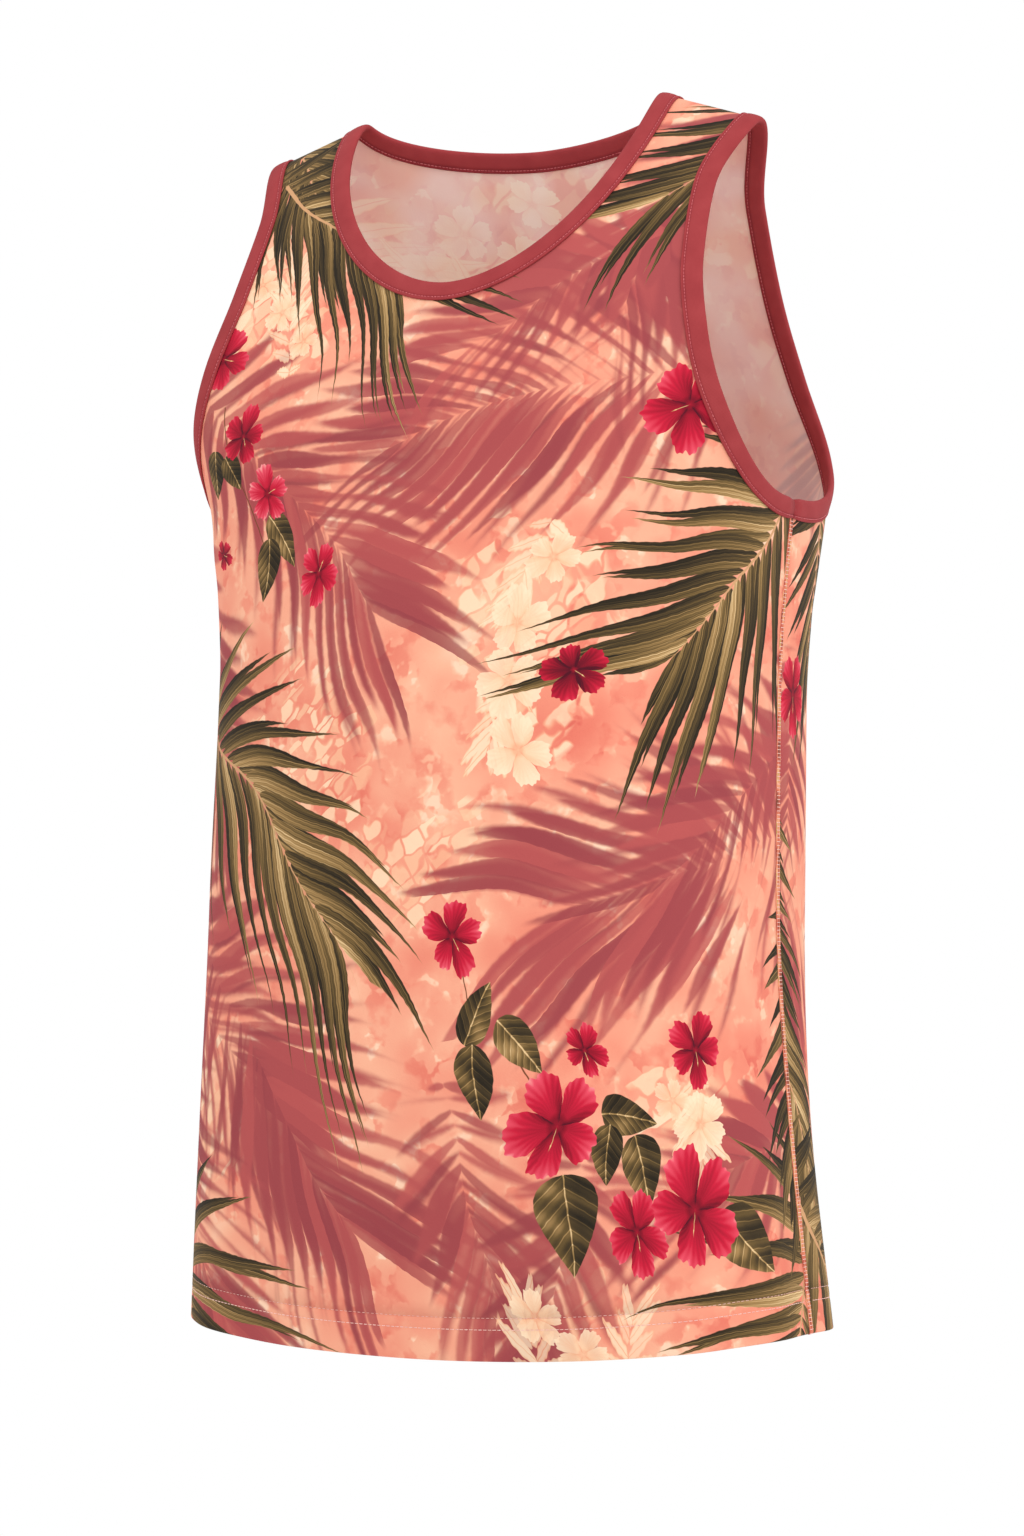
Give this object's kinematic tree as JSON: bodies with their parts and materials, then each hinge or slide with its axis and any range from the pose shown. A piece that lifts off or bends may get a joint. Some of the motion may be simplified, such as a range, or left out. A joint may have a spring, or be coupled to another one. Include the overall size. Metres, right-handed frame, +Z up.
{
  "type": "tank top",
  "caption": "Sleeveless printed jersey tank top with a round neck, folded bindings at the neck and armholes and a turned hem, hollow as worn.",
  "frame": {"origin": "midway between the two neck points, level with the inner ends of the shoulder seams, where the wearer's shoulders carry the straps", "axes": "+Z up, the front of the garment faces -Y, the wearer's left side is +X"},
  "size_m": [0.3746, 0.2731, 0.7009],
  "materials": {
    "printed_jersey": "soft matte cotton jersey with a coral, olive and crimson leaf and flower print",
    "binding_jersey": "fine ribbed jersey in dusty rose red, matte"
  },
  "bodies": {
    "root": {"front": "printed_jersey", "back": "printed_jersey", "neck_binding": "binding_jersey", "armhole_binding_left": "binding_jersey", "armhole_binding_right": "binding_jersey"}
  },
  "joints": []
}
